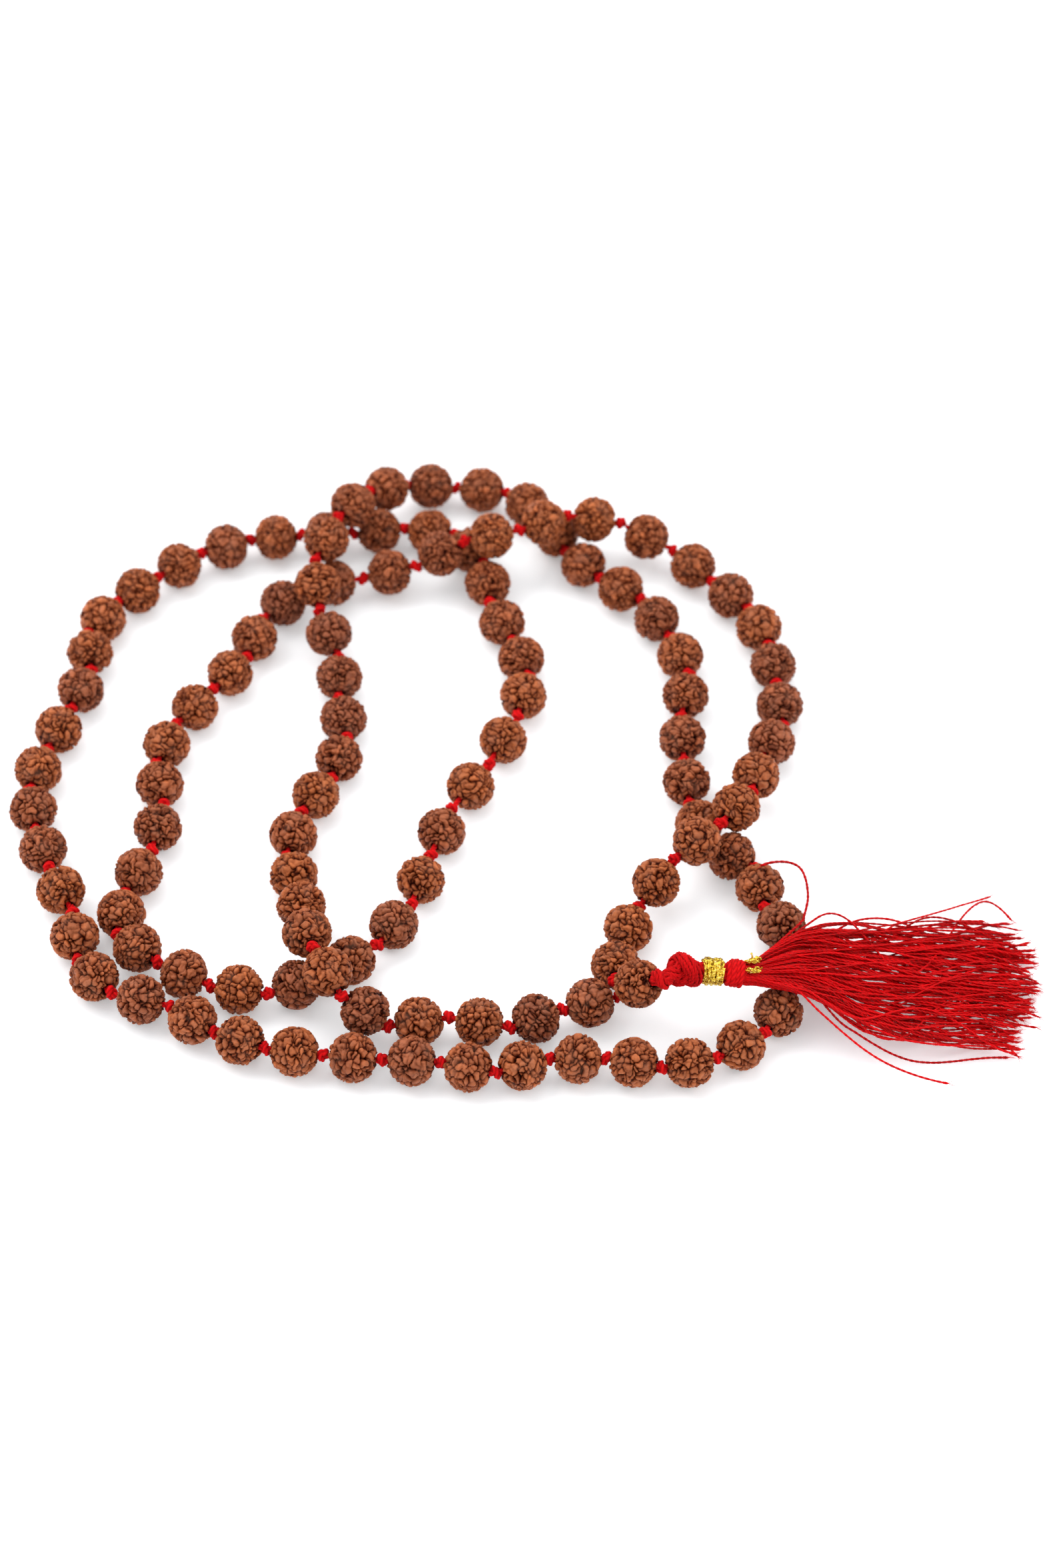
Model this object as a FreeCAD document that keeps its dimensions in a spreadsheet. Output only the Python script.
import FreeCAD, Part
import os
import math
import Sketcher
from FreeCAD import Vector, Rotation, Placement

# Mala prayer beads laid down as a loose coil on a table, with the tassel out to the right.
# Millimetres, +Z up, Z = 0 is the table, X to the right, Y away from the viewer.
# 108 beads lie on a closed string of 24 strands of four or five beads.  Every strand is
# a set of loose beads (beads_NN) on one piece of knotted cord (cord_NN).  The guru bead
# and the tassel hang between strands 20 and 21; other neighbours meet at a shared knot.

doc = FreeCAD.newDocument("mala_prayer_beads")

# ---------------------------------------------------------------- sizes
SIZES = [
    # string of beads
    ("bead_diameter", 8.0),
    ("bead_bore_diameter", 1.6),
    ("cord_diameter", 1.2),
    ("knot_diameter", 2.5),
    ("knot_play", 0.1),              # gap between a knot and the hollow it sits in
    # guru bead and its cord
    ("guru_diameter", 7.8),
    ("guru_bore_diameter", 2.3),
    ("guru_bore_overrun", 1.0),      # how far the bore cutter passes the ball at each end
    ("guru_mouth_diameter", 4.4),
    ("guru_leg_diameter", 1.0),
    ("guru_cord_diameter", 1.7),
    ("guru_join_margin", 0.08),      # join ball radius beyond the doubled cord's
    ("end_knot_diameter", 2.8),
    # tassel head
    ("head_knot_diameter", 5.0),
    ("core_diameter", 2.9),
    ("core_start", 0.5),             # starts are measured from the head knot's centre
    ("core_length", 9.9),
    ("wrap_bore_diameter", 3.1),
    ("gold_wrap_diameter", 4.3),
    ("gold_wrap_length", 3.6),
    ("gold_wrap_start", 2.75),
    ("gold_turn_pitch", 0.6),
    ("gold_turn_groove", 0.16),      # radius of the valley between turns
    ("gold_tail_width", 0.5),
    ("gold_tail_thickness", 0.22),
    ("red_wrap_diameter", 4.5),
    ("red_wrap_length", 3.3),
    ("red_wrap_start", 6.5),
    ("red_turn_pitch", 0.8),
    ("red_turn_groove", 0.2),
    # tassel threads
    ("thread_diameter", 0.4),
    ("lock_gap", 0.25),
]
sheet = doc.addObject("Spreadsheet::Sheet", "Sizes")
for row, (alias, value) in enumerate(SIZES, 1):
    sheet.set("A%d" % row, alias)
    sheet.set("B%d" % row, "%g" % value)
    sheet.setAlias("B%d" % row, alias)
doc.recompute()


def size(alias):
    return float(sheet.get(alias))


def half(alias):
    """Expression for the radius that belongs to a diameter."""
    return "Sizes.%s / 2" % alias


def seat(alias):
    """Expression for the radius of the hollow around a knot."""
    return half(alias) + " + Sizes.knot_play"


# ---------------------------------------------------------------- layout
# Knot centres (x, y, z), one row per strand.  A row leaves out the strand's first knot,
# which is the last knot of the row before; the last row closes the string on the first.
# A bead sits halfway between two knots, its bore on the line that joins them.
STRAND_KNOTS = [
    [(-11.881, 68.306, 3.562), (-2.798, 66.146, 4.436), (4.471, 60.361, 4.095),
     (7.738, 51.628, 3.904)],
    [(13.687, 44.945, 4.096), (20.840, 39.253, 4.390), (25.786, 30.720, 3.797),
     (28.706, 21.508, 4.203)],
    [(27.082, 11.809, 4.061), (27.265, 1.729, 4.022), (27.889, -7.945, 3.977),
     (30.945, -16.954, 4.023), (38.183, -22.217, 3.974)],
    [(39.748, -31.015, 4.438), (44.459, -38.624, 4.308), (43.329, -48.326, 3.969),
     (38.559, -56.735, 4.031)],
    [(30.815, -61.878, 3.977), (22.015, -63.775, 4.060), (13.267, -61.887, 3.988),
     (4.321, -62.074, 4.012), (-4.230, -64.711, 3.988)],
    [(-12.991, -62.841, 4.250), (-22.197, -62.348, 4.116), (-31.654, -61.202, 3.923),
     (-40.826, -60.123, 4.295)],
    [(-49.065, -56.653, 3.908), (-56.447, -51.519, 4.091), (-66.084, -48.724, 4.220),
     (-72.055, -41.809, 3.780), (-73.547, -31.841, 4.219)],
    [(-78.033, -22.609, 4.395), (-80.818, -13.748, 3.930), (-82.743, -4.887, 4.077),
     (-80.595, 4.235, 3.922)],
    [(-77.238, 13.451, 4.111), (-74.333, 22.306, 4.412), (-75.379, 31.187, 4.082),
     (-70.809, 38.878, 3.977), (-64.329, 45.049, 4.021)],
    [(-56.778, 51.015, 4.121), (-48.267, 54.547, 3.941), (-39.410, 55.827, 4.058),
     (-30.111, 56.311, 3.942)],
    [(-20.950, 57.256, 4.058), (-11.966, 55.888, 3.942), (-6.750, 48.310, 4.096),
     (-5.538, 38.641, 4.236), (-1.595, 29.754, 3.763)],
    [(1.130, 21.086, 4.275), (-0.808, 11.408, 4.613), (-5.699, 0.915, 3.972),
     (-11.742, -8.989, 4.027)],
    [(-15.193, -19.504, 4.119), (-18.250, -30.005, 3.880), (-23.626, -38.723, 4.119),
     (-31.919, -44.918, 3.887), (-40.965, -48.776, 4.112)],
    [(-50.342, -47.051, 3.887), (-58.966, -42.870, 4.731), (-65.943, -36.581, 4.399),
     (-65.268, -27.586, 3.599)],
    [(-61.308, -18.595, 4.399), (-60.096, -8.490, 4.173), (-61.737, 0.902, 4.081),
     (-58.973, 10.021, 3.918), (-53.036, 17.998, 4.207)],
    [(-47.644, 25.753, 4.037), (-45.492, 35.111, 3.962), (-38.300, 42.614, 4.112),
     (-28.097, 45.086, 3.888)],
    [(-18.686, 46.000, 6.004), (-10.260, 48.318, 9.875), (-0.561, 49.893, 11.030),
     (7.966, 54.265, 10.360), (17.298, 55.106, 7.597)],
    [(26.582, 51.326, 4.587), (33.566, 44.437, 3.767), (39.443, 37.053, 4.232),
     (42.769, 28.532, 4.017)],
    [(43.670, 19.174, 4.070), (44.352, 9.823, 3.929), (40.068, 0.778, 5.269),
     (38.113, -9.258, 8.433), (32.608, -17.916, 10.386)],
    [(24.731, -24.105, 8.406), (19.071, -30.904, 4.666), (15.308, -39.297, 3.334),
     (14.773, -47.847, 6.457)],
    # strand 21 starts at KNOT_OUT, past the guru bead
    [(6.399, -52.209, 4.228), (-2.022, -55.553, 3.835), (-11.776, -53.768, 4.164),
     (-21.400, -55.315, 3.835)],
    [(-28.765, -52.803, 8.485), (-33.491, -45.035, 11.071), (-35.904, -36.503, 8.284),
     (-36.221, -28.113, 4.513), (-39.177, -19.458, 3.570)],
    [(-36.975, -10.231, 4.430), (-32.251, -2.206, 3.966), (-29.773, 6.649, 4.034),
     (-31.284, 16.116, 3.966), (-31.757, 25.563, 4.431)],
    [(-35.237, 33.585, 7.557), (-36.126, 42.703, 10.870), (-32.495, 52.021, 11.814),
     (-27.418, 60.682, 9.767), (-21.073, 67.236, 5.380)],
]
STRAND_BEFORE_GURU = 20
KNOT_IN = Vector(*STRAND_KNOTS[STRAND_BEFORE_GURU - 1][-1])  # knot that ends strand 20
KNOT_OUT = Vector(15.262, -49.978, 4.791)      # knot that starts strand 21
GURU = Vector(18.472, -50.806, 9.125)          # guru bead centre
END_KNOT = Vector(21.946, -52.710, 12.646)     # knot on the tassel side of the guru bead
HEAD = Vector(25.766, -50.002, 11.700)         # big knot of the tassel
MOUTH = Vector(35.691, -49.818, 10.300)        # where the threads leave the red binding

MOUTH_BALL = (KNOT_IN + KNOT_OUT) * 0.5        # centre of the hollow in the guru bead's mouth
BORE_WAY = (GURU - MOUTH_BALL).normalize()
JOIN_BACK = 3.4                                # from the guru centre back to the cord join
HEAD_WAY = (MOUTH - HEAD).normalize()
HEAD_TURN = Rotation(Vector(0, 0, 1), HEAD_WAY)

parts = []


def keep(obj, label, origin, turn=Rotation()):
    """Place a finished piece and list it for export."""
    obj.Label = label
    obj.Placement = Placement(origin, turn)
    parts.append(obj)


# ---------------------------------------------------------------- solids
# Radii are spreadsheet expressions.
def sphere(name, centre, radius, pole, seam=None):
    """Ball with its own axis along pole and, if given, its seam facing seam."""
    ball = doc.addObject("Part::Sphere", name)
    if seam is None:
        turn = Rotation(Vector(0, 0, 1), pole)
    else:
        turn = Rotation(seam, pole.cross(seam), pole, "ZXY")
    ball.Placement = Placement(centre, turn)
    ball.setExpression("Radius", radius)
    return ball


def knot_ball(name, centre, before, after, radius):
    """Ball between two runs of cord, its poles and seam kept clear of both."""
    middle = (before + after).normalize()
    pole = before.cross(after)
    if pole.Length < 1e-3:
        pole = middle.cross(Vector(0, 0, 1))
    pole.normalize()
    return sphere(name, centre, radius, pole, pole.cross(middle).normalize())


def rod(name, start, end, radius):
    cylinder = doc.addObject("Part::Cylinder", name)
    cylinder.Height = (end - start).Length
    cylinder.Placement = Placement(start, Rotation(Vector(0, 0, 1), end - start))
    cylinder.setExpression("Radius", radius)
    return cylinder


def fuse(name, shapes):
    if len(shapes) == 1:
        return shapes[0]
    union = doc.addObject("Part::MultiFuse", name)
    union.Shapes = shapes
    return union


def cut(name, base, tool):
    difference = doc.addObject("Part::Cut", name)
    difference.Base = base
    difference.Tool = tool
    return difference


def compound(name, shapes):
    group = doc.addObject("Part::Compound", name)
    group.Links = shapes
    return group


def feature(name, shape):
    obj = doc.addObject("Part::Feature", name)
    obj.Shape = shape
    return obj


# ---------------------------------------------------------------- strands
def bead(tag, start, end):
    """Ball with a bore, each end hollowed where a knot nests."""
    way = (end - start).normalize()
    ball = sphere("ball_" + tag, (start + end) * 0.5, half("bead_diameter"), way)
    hollow = fuse("hollow_" + tag, [
        rod("bore_" + tag, start, end, half("bead_bore_diameter")),
        sphere("seat_a_" + tag, start, seat("knot_diameter"), way),
        sphere("seat_b_" + tag, end, seat("knot_diameter"), way)])
    return cut("bead_" + tag, ball, hollow)


def strand_cord(number, knots, is_first, is_last):
    """Cord straight through each bead, with a round knot between beads.

    A strand carries its last knot and is open around its first, which belongs to its
    neighbour.  The first strand carries both end knots, the last strand neither.
    """
    ways = [(end - start).normalize() for start, end in zip(knots, knots[1:])]
    runs = [rod("run_%s_%d" % (number, i), knots[i], knots[i + 1], half("cord_diameter"))
            for i in range(len(ways))]
    carried = range(0 if is_first else 1, len(knots) - 1 if is_last else len(knots))
    balls = [knot_ball("knot_%s_%d" % (number, i), knots[i], ways[max(i - 1, 0)],
                       ways[min(i, len(ways) - 1)], half("knot_diameter"))
             for i in carried]
    cord = fuse("line_" + number, runs + balls)
    openings = []
    if not is_first:
        openings.append(sphere("open_start_" + number, knots[0], seat("knot_diameter"), ways[0]))
    if is_last:
        openings.append(sphere("open_end_" + number, knots[-1], seat("knot_diameter"), ways[-1]))
    if openings:
        cord = cut("cord_" + number, cord, fuse("open_" + number, openings))
    return cord


def build_strands():
    for index, row in enumerate(STRAND_KNOTS):
        number = "%02d" % (index + 1)
        # index - 1 wraps round to the last strand for the first one
        origin = KNOT_OUT if index == STRAND_BEFORE_GURU else Vector(*STRAND_KNOTS[index - 1][-1])
        knots = [Vector(0, 0, 0)] + [Vector(*point) - origin for point in row]
        beads = [bead("%s_%d" % (number, i + 1), knots[i], knots[i + 1])
                 for i in range(len(row))]
        keep(compound("beads_" + number, beads), "beads_" + number, origin)
        cord = strand_cord(number, knots, index == 0, index == len(STRAND_KNOTS) - 1)
        keep(cord, "cord_" + number, origin)


# ---------------------------------------------------------------- turned bodies
# Profiles are drawn on the body's XZ plane and revolved about its Z axis.
DRAWN_RADIUS = 2.0     # half discs are drawn at this radius, then driven by the sheet


def profile(body, name):
    plane = next(item for item in body.Origin.OriginFeatures if item.Role == "XZ_Plane")
    sketch = body.newObject("Sketcher::SketchObject", name)
    sketch.AttachmentSupport = [(plane, "")]
    sketch.MapMode = "FlatFace"
    return sketch


def constrain(sketch, *terms):
    return sketch.addConstraint(Sketcher.Constraint(*terms))


def drive(sketch, name, expression, *terms):
    """Add a constraint that follows the sheet."""
    sketch.renameConstraint(constrain(sketch, *terms), name)
    sketch.setExpression("Constraints." + name, expression)


def half_disc(sketch, radius, height=0.0):
    """Half disc against the vertical axis, its centre on the axis."""
    circle = Part.Circle(Vector(0, height, 0), Vector(0, 0, 1), DRAWN_RADIUS)
    sketch.addGeometry(Part.ArcOfCircle(circle, -math.pi / 2, math.pi / 2), False)
    sketch.addGeometry(Part.LineSegment(Vector(0, height + DRAWN_RADIUS, 0),
                                        Vector(0, height - DRAWN_RADIUS, 0)), False)
    constrain(sketch, "Coincident", 0, 2, 1, 1)
    constrain(sketch, "Coincident", 0, 1, 1, 2)
    constrain(sketch, "PointOnObject", 0, 3, -2)
    constrain(sketch, "PointOnObject", 1, 1, -2)
    constrain(sketch, "PointOnObject", 1, 2, -2)
    constrain(sketch, "DistanceY", -1, 1, 0, 3, height)
    drive(sketch, "radius", radius, "Radius", 0, DRAWN_RADIUS)


def ring(sketch, bore, outer, start, length):
    """Rectangle beside the vertical axis, or against it when bore is None.

    bore and outer are diameter aliases; start and length are (value, expression).
    """
    left = size(bore) / 2 if bore else 0.0
    right = size(outer) / 2
    bottom, start_rule = start
    height, length_rule = length
    corners = [Vector(left, bottom, 0), Vector(right, bottom, 0),
               Vector(right, bottom + height, 0), Vector(left, bottom + height, 0)]
    for i in range(4):
        sketch.addGeometry(Part.LineSegment(corners[i], corners[(i + 1) % 4]), False)
    for i in range(4):
        constrain(sketch, "Coincident", i, 2, (i + 1) % 4, 1)
    for i in (0, 2):
        constrain(sketch, "Horizontal", i)
    for i in (1, 3):
        constrain(sketch, "Vertical", i)
    if bore:
        drive(sketch, "inner", half(bore), "DistanceX", -1, 1, 0, 1, left)
    else:
        constrain(sketch, "PointOnObject", 0, 1, -2)
    drive(sketch, "outer", half(outer), "DistanceX", -1, 1, 0, 2, right)
    drive(sketch, "start", start_rule, "DistanceY", -1, 1, 0, 1, bottom)
    drive(sketch, "length", length_rule, "DistanceY", 1, 1, 1, 2, height)


def whole(alias):
    return size(alias), "Sizes." + alias


def revolve(body, kind, sketch, name):
    turned = body.newObject("PartDesign::" + kind, name)
    turned.Profile = sketch
    turned.ReferenceAxis = (sketch, ["V_Axis"])
    turned.Angle = 360
    body.Tip = turned
    return turned


# ---------------------------------------------------------------- guru bead
def build_guru_bead():
    """Ball with a bore, a wide mouth towards the strands and a seat for the end knot."""
    guru = doc.addObject("PartDesign::Body", "guru_bead")

    sketch = profile(guru, "guru_profile")
    half_disc(sketch, half("guru_diameter"))
    revolve(guru, "Revolution", sketch, "guru_ball")

    sketch = profile(guru, "guru_bore_profile")
    diameter, overrun = size("guru_diameter"), size("guru_bore_overrun")
    ring(sketch, None, "guru_bore_diameter",
         start=(-diameter / 2 - overrun, "0 - Sizes.guru_diameter / 2 - Sizes.guru_bore_overrun"),
         length=(diameter + 2 * overrun, "Sizes.guru_diameter + 2 * Sizes.guru_bore_overrun"))
    revolve(guru, "Groove", sketch, "guru_bore")

    sketch = profile(guru, "guru_mouth_profile")
    half_disc(sketch, half("guru_mouth_diameter"), -(GURU - MOUTH_BALL).Length)
    revolve(guru, "Groove", sketch, "guru_mouth")

    sketch = profile(guru, "guru_seat_profile")
    half_disc(sketch, seat("end_knot_diameter"), (END_KNOT - GURU).Length)
    revolve(guru, "Groove", sketch, "guru_seat")

    keep(guru, "guru_bead", GURU, Rotation(Vector(0, 0, 1), BORE_WAY))


def build_guru_cord():
    """Two legs from the neighbouring knots join and run doubled through the bore
    into one knot on the far side."""
    knot_in, knot_out, end_knot = KNOT_IN - GURU, KNOT_OUT - GURU, END_KNOT - GURU
    join = BORE_WAY * -JOIN_BACK
    leg_way = (join - knot_in).normalize()
    leg_side = (leg_way - BORE_WAY * leg_way.dot(BORE_WAY)).normalize()
    line = fuse("guru_line", [
        rod("leg_in", knot_in, join, half("guru_leg_diameter")),
        rod("leg_out", knot_out, join, half("guru_leg_diameter")),
        sphere("join", join, half("guru_cord_diameter") + " + Sizes.guru_join_margin",
               leg_way.cross(BORE_WAY).normalize(), leg_side),
        rod("bore_pair", join, end_knot, half("guru_cord_diameter")),
        knot_ball("knot_out", knot_out, leg_way, leg_way, half("knot_diameter")),
        knot_ball("end_knot", end_knot, BORE_WAY, BORE_WAY, half("end_knot_diameter")),
    ])
    opening = sphere("guru_cord_open", knot_in, seat("knot_diameter"), leg_way)
    keep(cut("guru_cord", line, opening), "guru_cord", GURU)


# ---------------------------------------------------------------- tassel head
def build_neck_cord():
    """Short doubled cord between the end knot and the big knot."""
    start, end = Vector(0, 0, 0), HEAD - END_KNOT
    pair = rod("neck_line", start, end, half("guru_cord_diameter"))
    opening = fuse("neck_open", [
        sphere("neck_open_a", start, seat("end_knot_diameter"), end),
        sphere("neck_open_b", end, seat("head_knot_diameter"), end)])
    keep(cut("neck_cord", pair, opening), "neck_cord", END_KNOT)


def build_head_knot():
    """Big knot with the bundled thread core that runs inside both bindings."""
    knot = doc.addObject("PartDesign::Body", "head_knot")
    sketch = profile(knot, "head_ball_profile")
    half_disc(sketch, half("head_knot_diameter"))
    revolve(knot, "Revolution", sketch, "head_ball")
    sketch = profile(knot, "core_profile")
    ring(sketch, None, "core_diameter", whole("core_start"), whole("core_length"))
    revolve(knot, "Revolution", sketch, "core")
    keep(knot, "head_knot", HEAD, HEAD_TURN)


VALLEY_OFFSET = 0.35   # valley centre outside the binding, as a share of the valley radius


def binding(colour, body_name, valleys):
    """Tube with round valleys, one pitch apart, between the turns of thread."""
    wrap = colour + "_wrap"
    pitch = colour + "_turn_pitch"
    valley_radius = size(colour + "_turn_groove")
    body = doc.addObject("PartDesign::Body", body_name)
    tube = profile(body, wrap + "_profile")
    ring(tube, "wrap_bore_diameter", wrap + "_diameter", (0.0, "0"), whole(wrap + "_length"))
    revolve(body, "Revolution", tube, wrap + "_tube")

    disc = profile(body, wrap + "_valley_profile")
    centre = Vector(size(wrap + "_diameter") / 2 + valley_radius * VALLEY_OFFSET, size(pitch), 0)
    disc.addGeometry(Part.Circle(centre, Vector(0, 0, 1), valley_radius), False)
    drive(disc, "radius", "Sizes.%s_turn_groove" % colour, "Radius", 0, valley_radius)
    valley = revolve(body, "Groove", disc, wrap + "_valley")

    pattern = body.newObject("PartDesign::LinearPattern", wrap + "_turns")
    pattern.Originals = [valley]
    pattern.Direction = (disc, ["V_Axis"])
    pattern.Occurrences = valleys
    pattern.setExpression("Length", "Sizes.%s * %d" % (pitch, valleys - 1))
    body.Tip = pattern
    return body


# Crinkled flat ends of the gold thread: name, start from MOUTH,
# then stations of x, y, z, turn about X in radians.
GOLD_TAILS = [
    ("gold_tail_a", Vector(0.35, 1.75, 1.75),
     [(0.00, 0.00, 0.00, 0.3), (0.55, 0.15, 0.35, 0.9),
      (1.00, 0.45, 0.40, 0.2), (1.45, 0.40, 0.85, -0.5)]),
    ("gold_tail_b", Vector(0.45, -0.55, 2.35),
     [(0.00, 0.00, 0.00, -0.2), (0.60, -0.20, 0.10, 0.5),
      (1.10, -0.10, 0.50, -0.4), (1.60, -0.45, 0.60, 0.6)]),
]


def gold_tail(name, start, stations):
    """Strip lofted through small rectangles."""
    wires = []
    for x, y, z, turn in stations:
        centre = Vector(x, y, z)
        across = Vector(0, math.cos(turn), math.sin(turn)) * (size("gold_tail_width") / 2)
        up = Vector(0, -math.sin(turn), math.cos(turn)) * (size("gold_tail_thickness") / 2)
        corners = [centre + across + up, centre - across + up,
                   centre - across - up, centre + across - up]
        wires.append(Part.makePolygon(corners + [corners[0]]))
    tail = feature(name, Part.makeLoft(wires, True, True))
    tail.Placement = Placement(MOUTH + start - HEAD, Rotation())
    return tail


def build_gold_wrap():
    turns = binding("gold", "gold_turns", valleys=5)
    turns.Placement = Placement(HEAD_WAY * size("gold_wrap_start"), HEAD_TURN)
    tails = [gold_tail(*tail) for tail in GOLD_TAILS]
    keep(compound("gold_wrap", [turns] + tails), "gold_wrap", HEAD)


def build_red_wrap():
    keep(binding("red", "red_wrap", valleys=3), "red_wrap",
         HEAD + HEAD_WAY * size("red_wrap_start"), HEAD_TURN)


# ---------------------------------------------------------------- tassel threads
# Fan outline in plan: x, back edge y, front edge y, middle height, half thickness.
FAN = [
    (36.75, -47.90, -51.50, 10.25, 1.20),
    (39.50, -44.90, -52.40, 10.15, 1.15),
    (44.00, -41.10, -53.60, 9.85, 1.00),
    (48.50, -39.30, -55.20, 8.95, 1.00),
    (54.00, -37.90, -57.00, 7.10, 1.05),
    (61.00, -36.30, -57.60, 4.90, 1.05),
    (69.00, -34.90, -57.30, 3.10, 1.05),
    (76.50, -33.60, -56.80, 2.00, 1.00),
]
LOCK_TIPS = [80.6, 83.4, 82.2, 79.2]   # x of each lock's tip, back to front
TIP_DROP = 0.45                        # tip below the last row of the fan
TIP_HALF_THICKNESS = 0.8

# Single threads that strayed out of the fan: points x, y, z along each.
STRAY_BACK = [
    [(44.60, -39.80, 10.60), (45.90, -36.60, 11.30), (46.10, -31.50, 11.20),
     (44.90, -27.40, 10.60), (42.20, -25.60, 9.60), (38.60, -26.20, 9.00)],
    [(60.50, -35.30, 5.20), (64.50, -32.60, 3.60), (70.50, -29.00, 1.80),
     (77.60, -25.30, 0.60)],
    [(66.50, -34.30, 3.60), (70.50, -32.40, 2.40), (76.30, -31.30, 1.00)],
]
STRAY_FRONT = [
    [(46.50, -55.80, 9.20), (50.50, -58.90, 7.20), (56.50, -62.20, 4.20),
     (63.00, -64.00, 2.00), (69.60, -64.80, 0.70)],
    [(50.00, -57.00, 7.60), (55.50, -59.60, 5.00), (61.50, -61.50, 3.00),
     (70.00, -60.60, 1.80), (78.00, -59.60, 1.20)],
]


def ellipse_wire(centre, half_width, half_height):
    """Upright ellipse across X; Part.Ellipse wants the end of its long axis first."""
    side = centre + Vector(0, half_width, 0)
    top = centre + Vector(0, 0, half_height)
    major, minor = (side, top) if half_width >= half_height else (top, side)
    return Part.Wire([Part.Ellipse(major, minor, centre).toShape()])


def build_thread_locks():
    """The fan split across its width into locks, each with its own tip."""
    _, back_edge, front_edge, last_z, _ = FAN[-1]
    for i, tip_x in enumerate(LOCK_TIPS):
        tip = (tip_x, back_edge, front_edge, last_z - TIP_DROP, TIP_HALF_THICKNESS)
        wires = []
        for x, back, front, z, half_thickness in FAN + [tip]:
            width = (back - front) / len(LOCK_TIPS)
            centre = Vector(x, back - width * (i + 0.5), z) - MOUTH
            half_width = width / 2 - size("lock_gap") / 2
            wires.append(ellipse_wire(centre, half_width, half_thickness))
        name = "thread_lock_%d" % (i + 1)
        keep(feature(name, Part.makeLoft(wires, True, True)), name, MOUTH)


def build_stray_threads(label, paths):
    threads = []
    for path in paths:
        points = [Vector(*point) - MOUTH for point in path]
        curve = Part.BSplineCurve()
        curve.interpolate(points)
        spine = Part.Wire([curve.toShape()])
        way = curve.tangent(curve.FirstParameter)[0]
        circle = Part.Circle(points[0], way, size("thread_diameter") / 2)
        section = Part.Wire([circle.toShape()])
        threads.append(spine.makePipeShell([section], True, True))
    keep(feature(label, Part.makeCompound(threads)), label, MOUTH)


# ---------------------------------------------------------------- build, check and write
build_strands()
build_guru_bead()
build_guru_cord()
build_neck_cord()
build_head_knot()
build_gold_wrap()
build_red_wrap()
build_thread_locks()
build_stray_threads("stray_threads_back", STRAY_BACK)
build_stray_threads("stray_threads_front", STRAY_FRONT)

doc.recompute()
for obj in doc.Objects:
    for word in obj.State:
        if word in ("Invalid", "Error"):
            raise RuntimeError("object %s is %s" % (obj.Name, word))
for part in parts:
    if part.Shape.isNull() or not part.Shape.isValid():
        raise RuntimeError("shape of %s is not valid" % part.Label)
    for solid in part.Shape.Solids:
        if solid.Volume <= 0:
            raise RuntimeError("solid of %s is inside out" % part.Label)

os.makedirs("parts", exist_ok=True)
for part in parts:
    part.Shape.exportStep("parts/%s.step" % part.Label)
